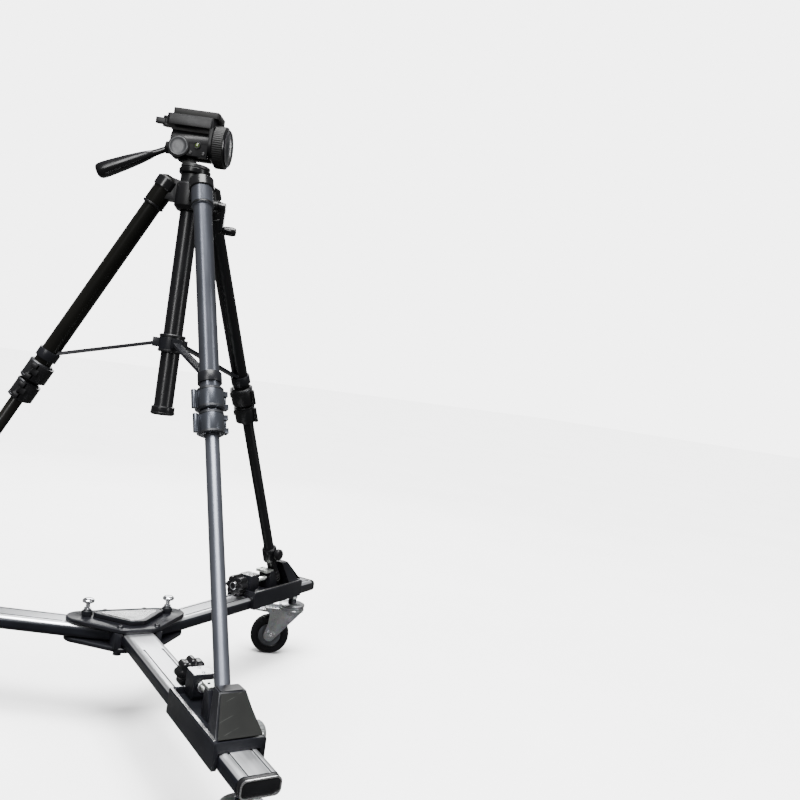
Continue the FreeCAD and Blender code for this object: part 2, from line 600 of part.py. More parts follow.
def tilt_body():
    body = cyl(17.5, (-38, 0, SIDE_Z), (1, 0, 0), 56)
    body = body.fuse(box(-38, 18, -17, 17, TILT_Z - 11.5, SIDE_Z + 4))
    body = body.cut(box(TILT_X - 10.8, 60, -7.4, 7.4, TILT_Z - 40, TILT_Z + 1.5))
    body = body.cut(cyl(10.8, (TILT_X, -7.4, TILT_Z), (0, 1, 0), 14.8))
    for y0 in (-19.3, 16.5):
        body = body.fuse(cyl(15.5, (TILT_X, y0, TILT_Z), (0, 1, 0), 2.8))
    body = body.fuse(cyl(4.0, (TILT_X, -17, TILT_Z), (0, 1, 0), 34))
    body = body.fuse(cyl(9.0, (-47, 0, HANDLE_Z - 2.5), (1, 0, 0), 11))
    body = body.cut(cyl(6.0 + RUN, (12.8, 0, SIDE_Z), (1, 0, 0), 40))
    slope = math.radians(HANDLE_DROP)
    d = (-math.cos(slope), 0, -math.sin(slope))
    body = body.cut(cyl(4.5 + RUN, (HANDLE_X, 0, HANDLE_Z), d, 60))
    return max(body.removeSplitter().Solids, key=lambda s: s.Volume)


def head_platform():
    table = rounded_slab(-46, 24, -21, 21, PLAT_Z0, PLAT_Z1, 5.0)
    flange = cyl(20.0, (18.4, 0, SIDE_Z), (1, 0, 0), 5.6)
    web = box(18.4, 24, -20, 20, SIDE_Z, PLAT_Z0 + 2)
    shaft = cyl(6.0, (13, 0, SIDE_Z), (1, 0, 0), 7)
    out = fuse(table, flange, web, shaft)
    out = out.cut(box(-36.2, 23, -16, 16, PLAT_Z1 - 5, PLAT_Z1 + 1))
    out = out.cut(cyl(3.5 + RUN, (20, 0, SIDE_Z), (1, 0, 0), 10))
    for z0 in (PLAT_Z0 + 0.5, PLAT_Z1 - 3.5):
        ear = fuse(box(-51, -45, -6, 6, z0, z0 + 3), cyl(6.0, (-51, 0, z0), (0, 0, 1), 3))
        out = out.fuse(ear)
    out = out.fuse(cyl(2.5, (-51, 0, PLAT_Z0 + 1), (0, 0, 1), PLAT_Z1 - PLAT_Z0 - 2))
    return out.removeSplitter()


def side_drum():
    out = turn([(0, 0), (27, 0), (30, 3), (30, 16), (27.5, 19), (20, 19.6), (0, 20)],
               (24.6, 0, SIDE_Z), (1, 0, 0))
    for i in range(24):
        a = math.radians(15 * i)
        y = 30.6 * math.cos(a)
        z = SIDE_Z + 30.6 * math.sin(a)
        out = out.cut(cyl(1.5, (28.5, y, z), (1, 0, 0), 12.5))
    out = out.fuse(cyl(3.5, (20.5, 0, SIDE_Z), (1, 0, 0), 6))
    return out.removeSplitter()


def qr_plate():
    lower = box(-36.2, 23, -16, 16, PLAT_Z1 - 5, PLAT_Z1 + 0.5)
    upper = rounded_slab(-38, 30, -20, 20, PLAT_Z1, QR_Z1, 4.0)
    out = fuse(lower, upper)
    for x in (-26, -18, 10, 18):
        out = out.cut(box(x - 1, x + 1, -17, 17, QR_Z1 - 0.8, QR_Z1 + 1))
    out = out.fuse(cyl(STUD_R, (-4, 0, QR_Z1 - 2), (0, 0, 1), STUD_H + 2))
    return out.removeSplitter()


def qr_lever():
    z0 = PLAT_Z0 + 3.8
    z1 = PLAT_Z1 - 3.8
    eye = cyl(5.0, (-51, 0, z0), (0, 0, 1), z1 - z0)
    arm = rounded_slab(-68, -50, -4.5, 4.5, z0, z1, 3.5)
    out = fuse(eye, arm)
    return out.cut(cyl(2.5 + RUN, (-51, 0, z0 - 1), (0, 0, 1), 20))


def pan_handle():
    slope = math.radians(HANDLE_DROP)
    d = (-math.cos(slope), 0, -math.sin(slope))
    profile = [(0, 0.5), (4.5, 0.5), (4.5, 24), (5.6, 30), (7.2, 42), (9.4, 58), (11.2, 74), (12.2, 90),
               (12.4, 104), (11.8, 114), (10.0, 118.5), (6.0, 120), (0, 120)]
    return turn(profile, (HANDLE_X, 0, HANDLE_Z), d)


parts["pan_base"] = placed(pan_base(), spin_z(HEAD_DEG))
parts["tilt_body"] = placed(tilt_body(), spin_z(HEAD_DEG))
parts["head_platform"] = placed(head_platform(), spin_z(HEAD_DEG))
parts["side_drum"] = placed(side_drum(), spin_z(HEAD_DEG))
parts["qr_plate"] = placed(qr_plate(), spin_z(HEAD_DEG))
parts["qr_lever"] = placed(qr_lever(), spin_z(HEAD_DEG))
parts["pan_handle"] = placed(pan_handle(), spin_z(HEAD_DEG))


# ---------------------------------------------------------------- origin under the middle of the box
everything = Part.makeCompound(list(parts.values()))
bb = everything.BoundBox
shift = FreeCAD.Placement(V(-(bb.XMin + bb.XMax) / 2, -(bb.YMin + bb.YMax) / 2, -bb.ZMin), FreeCAD.Rotation())
print("shift", round(shift.Base.x, 6), round(shift.Base.y, 6), round(shift.Base.z, 6))
for node, shape in parts.items():
    out = placed(shape, shift)
    if not out.isValid():
        print("invalid", node)
    print(node, len(out.Solids), round(out.Volume / 1000.0, 2))
    out.exportStep("parts/" + node + ".step")
print("nodes", len(parts))
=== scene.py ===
import json
import math

import bmesh
import bpy
from mathutils import Matrix, Vector


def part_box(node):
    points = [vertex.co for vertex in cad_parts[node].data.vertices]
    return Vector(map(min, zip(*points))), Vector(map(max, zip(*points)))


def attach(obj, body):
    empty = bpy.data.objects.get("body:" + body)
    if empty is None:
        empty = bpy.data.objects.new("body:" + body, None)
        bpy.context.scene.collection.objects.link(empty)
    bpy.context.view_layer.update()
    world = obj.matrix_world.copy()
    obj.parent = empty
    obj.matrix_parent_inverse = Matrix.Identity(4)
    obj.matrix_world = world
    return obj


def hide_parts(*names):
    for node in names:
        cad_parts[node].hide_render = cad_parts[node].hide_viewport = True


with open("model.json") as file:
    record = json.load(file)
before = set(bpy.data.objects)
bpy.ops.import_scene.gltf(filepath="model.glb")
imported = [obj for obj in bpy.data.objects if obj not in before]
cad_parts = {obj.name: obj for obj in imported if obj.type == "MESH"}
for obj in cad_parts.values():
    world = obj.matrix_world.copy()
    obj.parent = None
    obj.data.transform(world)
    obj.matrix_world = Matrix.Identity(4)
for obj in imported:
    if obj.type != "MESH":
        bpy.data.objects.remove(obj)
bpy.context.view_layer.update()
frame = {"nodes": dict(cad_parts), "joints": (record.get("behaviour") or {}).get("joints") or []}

# ---------------------------------------------------------------- places, in metres, from the frame
ARMS = (("front", -90.0), ("right", 30.0), ("left", 150.0))
LO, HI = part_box("guide_tube")
HUB = Vector(((LO.x + HI.x) / 2, (LO.y + HI.y) / 2, 0.0))
JOINTS = {j["name"]: j for j in frame["joints"]}
APEX_Z = 0.882
HEAD_DEG = -34.0
TRAIL_DEG = 152.0
CASTER_U = 0.438
WHEEL_R = 0.0375
TRAIL = 0.036
SCREW_Z = 0.170
ARM_MID_Z = 0.1365
ARM_END_U = 0.474
HUB_TOP_Z = 0.154
PIN_U = 0.070
HEAD_TILT_Z = 0.872
COLLAR_RING = 0.003
LENS_MM = 36.12
WORLD_LIGHT = 0.22
WORLD_SEEN = 5.2
AXLE_TURN = Matrix.Rotation(math.radians(-90), 4, "X")


def arm_frame(deg, u=0.0):
    """Local X runs out along the arm, local Z is up."""
    turn = Matrix.Rotation(math.radians(deg), 4, "Z")
    return Matrix.Translation(HUB) @ turn @ Matrix.Translation((u, 0, 0))


def leg_frame(name, deg):
    """Local Z runs down the leg from the apex, local X is its outer side."""
    down = Vector(JOINTS["leg_slide_" + name]["axis"]).normalized()
    side = Matrix.Rotation(math.radians(deg), 3, "Z") @ Vector((0, -1, 0))
    out = side.cross(down)
    m = Matrix((out, side, down)).transposed().to_4x4()
    m.translation = HUB + Vector((0, 0, APEX_Z))
    return m


def head_frame(x=0.0, y=0.0, z=0.0):
    turn = Matrix.Rotation(math.radians(HEAD_DEG), 4, "Z")
    return Matrix.Translation(HUB) @ turn @ Matrix.Translation((x, y, z))


def wheel_frame(deg):
    """Local X is the trail, local Y the axle, at the wheel's centre."""
    swivel = arm_frame(deg, CASTER_U).translation
    turn = Matrix.Rotation(math.radians(TRAIL_DEG), 4, "Z")
    return Matrix.Translation(swivel) @ turn @ Matrix.Translation((TRAIL, 0, WHEEL_R))


def along(axis):
    """Turns local Z to point along X, -X, Y, -Y or -Z."""
    target = Vector(axis)
    return Vector((0, 0, 1)).rotation_difference(target).to_matrix().to_4x4()


# ---------------------------------------------------------------- materials
class Finish:
    """One node material, built up a layer at a time."""

    def __init__(self, name, metallic=0.0, coat=0.0, specular=0.5):
        self.mat = bpy.data.materials.new(name)
        self.mat.use_nodes = True
        self.nodes = self.mat.node_tree.nodes
        self.links = self.mat.node_tree.links
        self.shader = self.nodes["Principled BSDF"]
        self.shader.inputs["Metallic"].default_value = metallic
        self.shader.inputs["Coat Weight"].default_value = coat
        self.shader.inputs["Specular IOR Level"].default_value = specular
        self.coords = self.nodes.new("ShaderNodeTexCoord").outputs["Object"]

    def mapped(self, scale, turn=(0, 0, 0)):
        """Object coordinates turned first, then stretched."""
        spin = self.nodes.new("ShaderNodeVectorRotate")
        spin.rotation_type = "EULER_XYZ"
        spin.inputs["Rotation"].default_value = turn
        self.links.new(self.coords, spin.inputs["Vector"])
        stretch = self.nodes.new("ShaderNodeVectorMath")
        stretch.operation = "MULTIPLY"
        stretch.inputs[1].default_value = scale
        self.links.new(spin.outputs["Vector"], stretch.inputs[0])
        return stretch.outputs["Vector"]

    def noise(self, scale, turn=(0, 0, 0), detail=4.0):
        tex = self.nodes.new("ShaderNodeTexNoise")
        tex.inputs["Scale"].default_value = 1.0
        tex.inputs["Detail"].default_value = detail
        tex.inputs["Roughness"].default_value = 0.55
        self.links.new(self.mapped(scale, turn), tex.inputs["Vector"])
        return tex.outputs["Fac"]

    def cells(self, scale):
        tex = self.nodes.new("ShaderNodeTexVoronoi")
        tex.inputs["Scale"].default_value = 1.0
        self.links.new(self.mapped((scale,) * 3), tex.inputs["Vector"])
        return tex

    def span(self, value, low, high, start=0.3, stop=0.7):
        node = self.nodes.new("ShaderNodeMapRange")
        node.inputs["From Min"].default_value = start
        node.inputs["From Max"].default_value = stop
        node.inputs["To Min"].default_value = low
        node.inputs["To Max"].default_value = high
        self.links.new(value, node.inputs["Value"])
        return node.outputs["Result"]

    def tint(self, value, low, high):
        ramp = self.nodes.new("ShaderNodeValToRGB")
        ramp.color_ramp.elements[0].position = 0.3
        ramp.color_ramp.elements[0].color = (*low, 1)
        ramp.color_ramp.elements[1].position = 0.7
        ramp.color_ramp.elements[1].color = (*high, 1)
        self.links.new(value, ramp.inputs["Fac"])
        return ramp.outputs["Color"]

    def mix(self, factor, a, b, kind="MIX"):
        node = self.nodes.new("ShaderNodeMix")
        node.data_type = "RGBA"
        node.blend_type = kind
        sockets = [s for s in node.inputs if s.enabled]
        for socket, value in zip(sockets, (factor, a, b)):
            if isinstance(value, bpy.types.NodeSocket):
                self.links.new(value, socket)
            elif isinstance(value, tuple):
                socket.default_value = (*value, 1)
            else:
                socket.default_value = value
        return [s for s in node.outputs if s.enabled][0]

    def blend(self, factor, a, b):
        node = self.nodes.new("ShaderNodeMix")
        sockets = [s for s in node.inputs if s.enabled]
        for socket, value in zip(sockets, (factor, a, b)):
            if isinstance(value, bpy.types.NodeSocket):
                self.links.new(value, socket)
            else:
                socket.default_value = value
        return [s for s in node.outputs if s.enabled][0]

    def worn(self, colour, wear):
        """Lighter along convex edges, broken up by noise."""
        sharp = self.nodes.new("ShaderNodeNewGeometry").outputs["Pointiness"]
        mask = self.span(sharp, 0.0, 0.45, 0.56, 0.68)
        patchy = self.span(self.noise((90, 90, 90)), 0.0, 1.0, 0.42, 0.62)
        both = self.nodes.new("ShaderNodeMath")
        both.operation = "MULTIPLY"
        both.use_clamp = True
        self.links.new(mask, both.inputs[0])
        self.links.new(patchy, both.inputs[1])
        return self.mix(both.outputs[0], colour, wear)

    def scratched(self, colour, mark):
        """A few fine lighter scratches on flat painted faces."""
        lines = self.noise((26, 34, 760), (0.5, 0.35, 0.2), detail=2)
        return self.mix(self.span(lines, 0.0, 0.4, 0.70, 0.78), colour, mark)

    def facing(self, axis="Z", start=0.6, stop=0.8):
        """1 where the surface's own normal points along +axis."""
        normal = self.nodes.new("ShaderNodeTexCoord").outputs["Normal"]
        split = self.nodes.new("ShaderNodeSeparateXYZ")
        self.links.new(normal, split.inputs[0])
        return self.span(split.outputs[axis], 0.0, 1.0, start, stop)

    def bump(self, height, strength, distance):
        node = self.nodes.new("ShaderNodeBump")
        node.inputs["Strength"].default_value = strength
        node.inputs["Distance"].default_value = distance
        self.links.new(height, node.inputs["Height"])
        previous = self.shader.inputs["Normal"]
        if previous.is_linked:
            self.links.new(previous.links[0].from_socket, node.inputs["Normal"])
        self.links.new(node.outputs["Normal"], previous)

    def set(self, socket, value):
        self.links.new(value, self.shader.inputs[socket])
        return self


def paint(
        name, dark, light, rough, grain=900.0, bump=0.25, wear=None, metallic=0.0, coat=0.0,
        specular=0.5, scratch=None):
    """Powder coat, moulded plastic or rubber: mottled tone, uneven gloss and a fine grain."""
    f = Finish(name, metallic, coat, specular)
    blotch = f.noise((14, 14, 14), detail=3)
    fine = f.noise((grain, grain, grain), detail=3)
    colour = f.tint(blotch, dark, light)
    if wear:
        colour = f.worn(colour, wear)
    if scratch:
        colour = f.scratched(colour, scratch)
    f.set("Base Color", colour)
    f.set("Roughness", f.span(f.noise((60, 60, 60)), rough - 0.04, rough + 0.05))
    f.bump(fine, bump, 0.0002)
    return f.mat


def brushed(name, dark, light, rough, turn, streak=1400.0):
    """Metal drawn or brushed along the turned X axis."""
    f = Finish(name, 1.0)
    lines = f.noise((3.0, streak, streak), turn, detail=2)
    f.set("Base Color", f.tint(lines, dark, light))
    smudge = f.span(f.noise((25, 25, 25)), -0.04, 0.06)
    add = f.nodes.new("ShaderNodeMath")
    add.operation = "ADD"
    f.links.new(f.span(lines, rough - 0.06, rough + 0.08), add.inputs[0])
    f.links.new(smudge, add.inputs[1])
    f.set("Roughness", add.outputs[0])
    f.bump(lines, 0.12, 0.0001)
    return f.mat


def arm_painted_side_shade(name, deg):
    """Arm section: bright brushed top, with painted shade making the sides and underside dark."""
    f = Finish(name, 1.0)
    turn = (0, 0, -math.radians(deg))
    lines = f.noise((2.0, 1600, 1600), turn, detail=2)
    bright = f.tint(lines, (0.58, 0.59, 0.61), (0.70, 0.71, 0.73))
    # Painted shade: faces that do not point up get a near-black colour in place of the brushed metal,
    # standing in for shade on the sides and underside.
    dark = f.tint(f.noise((20, 20, 20)), (0.0050, 0.0054, 0.0080), (0.0110, 0.0118, 0.0165))
    top = f.facing("Z", 0.55, 0.75)
    f.set("Base Color", f.mix(top, dark, bright))
    f.set("Metallic", f.span(top, 0.55, 1.0, 0.0, 1.0))
    f.set("Roughness", f.blend(top, 0.34, f.span(lines, 0.34, 0.42)))
    f.bump(lines, 0.04, 0.00005)
    return f.mat


def tube_finish(name, leg, dark, light, rough, metallic):
    """Satin anodised tube with faint draw lines along the leg."""
    f = Finish(name, metallic, specular=0.18)
    down = Vector(JOINTS["leg_slide_" + leg]["axis"])
    to_x = down.rotation_difference(Vector((1, 0, 0))).to_euler()
    lines = f.noise((4.0, 900, 900), tuple(to_x), detail=2)
    colour = f.mix(0.15, f.tint(f.noise((10, 10, 10)), dark, light), f.tint(lines, dark, light))
    f.set("Base Color", colour)
    f.set("Roughness", f.span(f.noise((6, 120, 120), tuple(to_x)), rough - 0.04, rough + 0.05))
    f.bump(lines, 0.012, 0.00005)
    return f.mat


def zinc_plate():
    f = Finish("zinc_plate", 1.0)
    spangle = f.cells(160).outputs["Color"]
    tone = f.tint(f.noise((45, 45, 45)), (0.44, 0.45, 0.47), (0.66, 0.67, 0.68))
    colour = f.mix(0.12, tone, spangle, "SOFT_LIGHT")
    f.set("Base Color", colour)
    f.set("Roughness", f.span(f.noise((110, 110, 110)), 0.24, 0.42))
    f.bump(f.noise((500, 500, 500)), 0.12, 0.0002)
    return f.mat


def chrome_plate():
    f = Finish("chrome_plate", 1.0)
    f.set("Base Color", f.tint(f.noise((30, 30, 30)), (0.72, 0.73, 0.76), (0.86, 0.87, 0.90)))
    f.set("Roughness", f.span(f.noise((70, 70, 70)), 0.05, 0.16))
    f.bump(f.noise((220, 220, 220)), 0.03, 0.0001)
    return f.mat


BLACK_PAINT = paint(
    "black_powder_coat", (0.0030, 0.0032, 0.0042), (0.0075, 0.0078, 0.0100), 0.34, grain=1500,
    bump=0.22, scratch=(0.05, 0.053, 0.060), specular=0.22)
BLACK_PLASTIC = paint(
    "black_plastic", (0.0026, 0.0026, 0.0030), (0.0062, 0.0062, 0.0070), 0.38, grain=2200,
    bump=0.18, wear=(0.018, 0.018, 0.020), specular=0.20)
GLOSS_PLASTIC = paint(
    "gloss_black_plastic", (0.0022, 0.0022, 0.0026), (0.0050, 0.0050, 0.0056), 0.22, grain=700,
    bump=0.05, wear=(0.018, 0.018, 0.020), specular=0.30)
SOFT_RUBBER = paint(
    "soft_rubber", (0.0035, 0.0035, 0.0035), (0.0080, 0.0080, 0.0080), 0.56, grain=1800, bump=0.35,
    specular=0.22)
TYRE = paint(
    "tyre_urethane", (0.0026, 0.0026, 0.0034), (0.0065, 0.0065, 0.0080), 0.24, grain=420, bump=0.12,
    specular=0.34)
RIM_GREY = paint(
    "rim_grey", (0.050, 0.053, 0.060), (0.080, 0.084, 0.094), 0.40, grain=1200, bump=0.16)
KNOB_GREY = paint(
    "knob_grey", (0.070, 0.074, 0.074), (0.12, 0.125, 0.125), 0.40, grain=1300, bump=0.2,
    wear=(0.42, 0.43, 0.43))
PALE_STEEL = brushed(
    "pale_steel", (0.60, 0.64, 0.60), (0.80, 0.83, 0.79), 0.30, (0, 0, 0), streak=500)
BADGE_SILVER = brushed("badge_silver", (0.50, 0.50, 0.50), (0.74, 0.74, 0.75), 0.24, (0, 0, 0.5))
ZINC = zinc_plate()
CHROME = chrome_plate()
BRUSHED_STEEL = brushed("brushed_steel", (0.45, 0.46, 0.48), (0.66, 0.67, 0.69), 0.3, (0, 0, 0.3))
OLIVE_GREY = paint(
    "olive_grey_paint", (0.0032, 0.0035, 0.0032), (0.0068, 0.0072, 0.0066), 0.46, grain=1300,
    bump=0.3, scratch=(0.09, 0.094, 0.088), specular=0.08)
COLLAR_METAL = paint(
    "collar_metal", (0.018, 0.019, 0.021), (0.036, 0.037, 0.041), 0.34, grain=1200, bump=0.14,
    wear=(0.3, 0.3, 0.32), metallic=0.7)
DISC_GREY = paint(
    "disc_grey", (0.012, 0.0125, 0.014), (0.022, 0.023, 0.026), 0.36, grain=1500, bump=0.16,
    wear=(0.16, 0.16, 0.17), metallic=0.3)
BADGE_RIM = brushed(
    "badge_rim", (0.060, 0.062, 0.066), (0.110, 0.112, 0.118), 0.3, (0, 0, 0.5), streak=900)
SCALE_RING = paint(
    "scale_ring_black", (0.004, 0.004, 0.0045), (0.008, 0.008, 0.009), 0.42, grain=1600)
VIAL_GREEN = paint(
    "vial_green", (0.030, 0.046, 0.012), (0.050, 0.072, 0.018), 0.10, grain=60, bump=0.02, coat=0.6)
# Painted shade: a near-black colour for slots that are not cut into the mesh.
SLOT_SHADE_PAINT = paint("painted_slot_shade", (0.004, 0.004, 0.004), (0.010, 0.010, 0.010), 0.7, bump=0.1)

# ---------------------------------------------------------------- mesh tools
SHARP = math.radians(32)


def finish_mesh(name, bm, place, mat, body, bevel=0.0):
    """Turns a bmesh into a piece on a body, smooth with crisp edges, in its material's slot."""
    bmesh.ops.remove_doubles(bm, verts=bm.verts, dist=1e-7)
    bmesh.ops.recalc_face_normals(bm, faces=bm.faces)
    for face in bm.faces:
        face.smooth = True
    for edge in bm.edges:
        if len(edge.link_faces) == 2:
            edge.smooth = edge.calc_face_angle(0.0) < SHARP
    mesh = bpy.data.meshes.new(name)
    bm.to_mesh(mesh)
    bm.free()
    mesh.transform(place)
    if place.determinant() < 0:
        mesh.flip_normals()
    piece = bpy.data.objects.new(name, mesh)
    bpy.context.scene.collection.objects.link(piece)
    mesh.materials.append(mat)
    if bevel:
        mod = piece.modifiers.new("edge", "BEVEL")
        mod.width = bevel
        mod.segments = 2
        mod.limit_method = "ANGLE"
        mod.angle_limit = SHARP
        mod.harden_normals = True
    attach(piece, body)
    return piece


def lathe(name, profile, place, mat, body, steps=40):
    """Closed solid of revolution about local Z from (radius, height) pairs in order."""
    bm = bmesh.new()
    rings = []
    for r, h in profile:
        if r < 1e-7:
            rings.append([bm.verts.new((0, 0, h))])
            continue
        ring = []
        for i in range(steps):
            a = 2 * math.pi * i / steps
            ring.append(bm.verts.new((r * math.cos(a), r * math.sin(a), h)))
        rings.append(ring)
    pairs = list(zip(rings, rings[1:]))
    if profile[0][0] > 1e-7 or profile[-1][0] > 1e-7:
        pairs.append((rings[-1], rings[0]))
    for a, b in pairs:
        for i in range(steps):
            j = (i + 1) % steps
            quad = [a[i % len(a)], a[j % len(a)], b[j % len(b)], b[i % len(b)]]
            corners = list(dict.fromkeys(quad))
            if len(corners) > 2:
                bm.faces.new(corners)
    return finish_mesh(name, bm, place, mat, body)


def slab(name, outline, z0, z1, place, mat, body, bevel=0.0004):
    """Extruded outline in local XY."""
    bm = bmesh.new()
    low = [bm.verts.new((x, y, z0)) for x, y in outline]
    high = [bm.verts.new((x, y, z1)) for x, y in outline]
    bm.faces.new(low[::-1])
    bm.faces.new(high)
    n = len(outline)
    for i in range(n):
        j = (i + 1) % n
        bm.faces.new((low[i], low[j], high[j], high[i]))
    return finish_mesh(name, bm, place, mat, body, bevel)


def rounded_rect(x0, x1, y0, y1, r, steps=6):
    points = []
    for cx, cy, start in (
            (x1 - r, y1 - r, 0), (x0 + r, y1 - r, 90), (x0 + r, y0 + r, 180),
            (x1 - r, y0 + r, 270)):
        for i in range(steps + 1):
            a = math.radians(start + 90 * i / steps)
            points.append((cx + r * math.cos(a), cy + r * math.sin(a)))
    return points


def circle(r, steps=32):
    points = []
    for i in range(steps):
        a = 2 * math.pi * i / steps
        points.append((r * math.cos(a), r * math.sin(a)))
    return points


def circle_hull(centres, r, steps=8):
    """Outline round equal circles given counter-clockwise."""
    points = []
    n = len(centres)
    for i in range(n):
        before, here, after = centres[i - 1], centres[i], centres[(i + 1) % n]
        a0 = math.atan2(here[1] - before[1], here[0] - before[0]) - math.pi / 2
        a1 = math.atan2(after[1] - here[1], after[0] - here[0]) - math.pi / 2
        while a1 < a0:
            a1 += 2 * math.pi
        for k in range(steps + 1):
            a = a0 + (a1 - a0) * k / steps
            points.append((here[0] + r * math.cos(a), here[1] + r * math.sin(a)))
    return points


def hex_bolt(name, r, height, place, mat, body):
    """Hexagon head with a chamfered crown, on a washer."""
    bm = bmesh.new()
    rings = []
    for scale, h in ((1.0, 0.0), (1.0, height * 0.8), (0.86, height)):
        rings.append([bm.verts.new((x * scale, y * scale, h)) for x, y in circle(r, 6)])
    bm.faces.new(rings[0][::-1])
    bm.faces.new(rings[-1])
    for a, b in zip(rings, rings[1:]):
        for i in range(6):
            j = (i + 1) % 6
            bm.faces.new((a[i], a[j], b[j], b[i]))
    finish_mesh(name, bm, place, mat, body, 0.0002)
    washer = [(0, -0.0006), (r * 1.35, -0.0006), (r * 1.35, 0.0), (r * 1.25, 0.0004), (0, 0.0004)]
    lathe(name + "_washer", washer, place, mat, body, 28)


def socket_screw(name, r, place, mat, body):
    """Button head screw with a hexagon socket sunk into it."""
    bm = bmesh.new()
    steps = 24
    profile = ((1.0, 0.0), (1.0, 0.15), (0.92, 0.38), (0.72, 0.55), (0.50, 0.60))
    rings = [[bm.verts.new((x * s, y * s, h * r)) for x, y in circle(r, steps)] for s, h in profile]
    hexagon = []
    for h in (0.60, 0.15):
        ring = []
        for i in range(steps):
            a = 2 * math.pi * i / steps
            sector = (a % (math.pi / 3)) - math.pi / 6
            reach = 0.38 * r * math.cos(math.pi / 6) / math.cos(sector)
            ring.append(bm.verts.new((reach * math.cos(a), reach * math.sin(a), h * r)))
        hexagon.append(ring)
    rings += hexagon
    for a, b in zip(rings, rings[1:]):
        for i in range(steps):
            j = (i + 1) % steps
            bm.faces.new((a[i], a[j], b[j], b[i]))
    bm.faces.new(rings[0][::-1])
    bm.faces.new(rings[-1])
    return finish_mesh(name, bm, place, mat, body)


def sweep(name, stations, place, mat, body, bevel=0.0, subdivide=0):
    """Closed skin through rings of points, one list of 3-D points per station."""
    bm = bmesh.new()
    rings = [[bm.verts.new(p) for p in ring] for ring in stations]
    n = len(stations[0])
    for a, b in zip(rings, rings[1:]):
        for i in range(n):
            j = (i + 1) % n
            bm.faces.new((a[i], a[j], b[j], b[i]))
    bm.faces.new(rings[0][::-1])
    bm.faces.new(rings[-1])
    piece = finish_mesh(name, bm, place, mat, body, bevel)
    if subdivide:
        mod = piece.modifiers.new("round", "SUBSURF")
        mod.levels = subdivide
        mod.render_levels = subdivide
    return piece


def coil(name, radius, wire, pitch, turns, place, mat, body, steps=20, sides=8):
    """Round wire wound about local Z."""
    stations = []
    total = int(turns * steps)
    for k in range(total + 1):
        a = 2 * math.pi * k / steps
        z = pitch * k / steps
        ring = []
        for s in range(sides):
            b = 2 * math.pi * s / sides
            r = radius + wire * math.cos(b)
            ring.append((r * math.cos(a), r * math.sin(a), z + wire * math.sin(b)))
        stations.append(ring)
    return sweep(name, stations, place, mat, body)


def threaded(name, r, z0, z1, pitch, place, mat, body, depth=0.0007, sides=18, rows=8):
    """Screw thread cut into a round bar along local Z."""
    stations = []
    count = int(round((z1 - z0) / pitch * rows))
    for k in range(count + 1):
        z = z0 + (z1 - z0) * k / count
        ring = []
        for i in range(sides):
            phase = ((z - z0) / pitch - i / sides) % 1.0
            cut = depth * abs(2 * phase - 1)
            a = 2 * math.pi * i / sides
            ring.append(((r - cut) * math.cos(a), (r - cut) * math.sin(a), z))
        stations.append(ring)
    return sweep(name, stations, place, mat, body)


def fluted(name, profile, lobes, depth, place, mat, body, steps=96):
    """Lathed form whose outer radius dips between lobes; (radius, height, share of the dip)."""
    stations = []
    for r, h, share in profile:
        ring = []
        for i in range(steps):
            a = 2 * math.pi * i / steps
            dip = depth * share * (0.5 - 0.5 * math.cos(lobes * a)) ** 1.6
            ring.append(((r - dip) * math.cos(a), (r - dip) * math.sin(a), h))
        stations.append(ring)
    return sweep(name, stations, place, mat, body)


def boxes(name, spans, place, mat, body, bevel=0.0002):
    """Many small bars in one piece: (x0, x1, y0, y1, z0, z1) each."""
    bm = bmesh.new()
    for x0, x1, y0, y1, z0, z1 in spans:
        corners = [
            bm.verts.new((x, y, z)) for z in (z0, z1)
            for x, y in ((x0, y0), (x1, y0), (x1, y1), (x0, y1))]
        for face in (
                (3, 2, 1, 0), (4, 5, 6, 7), (0, 1, 5, 4), (1, 2, 6, 5), (2, 3, 7, 6), (3, 0, 4, 7)):
            bm.faces.new([corners[i] for i in face])
    return finish_mesh(name, bm, place, mat, body, bevel)


def ring_band(name, r_in, r_out, z0, z1, place, mat, body, soft=0.0003, steps=48):
    """Flat ring with rounded outer corners."""
    profile = [
        (r_in, z0), (r_out - soft, z0), (r_out, z0 + soft), (r_out, z1 - soft), (r_out - soft, z1),
        (r_in, z1)]
    return lathe(name, profile, place, mat, body, steps)


def hexahedron(name, low, high, place, mat, body):
    """Block between two four-cornered faces given in the same order."""
    return sweep(name, [low, high], place, mat, body, 0.0003)


def frame_ring(name, outer, inner, z0, z1, place, mat, body):
    """Flat frame between two outlines with the same number of points."""
    bm = bmesh.new()
    loops = []
    for outline, z in ((outer, z0), (outer, z1), (inner, z1), (inner, z0)):
        loops.append([bm.verts.new((x, y, z)) for x, y in outline])
    n = len(outer)
    for a, b in zip(loops, loops[1:] + loops[:1]):
        for i in range(n):
            j = (i + 1) % n
            bm.faces.new((a[i], a[j], b[j], b[i]))
    return finish_mesh(name, bm, place, mat, body)


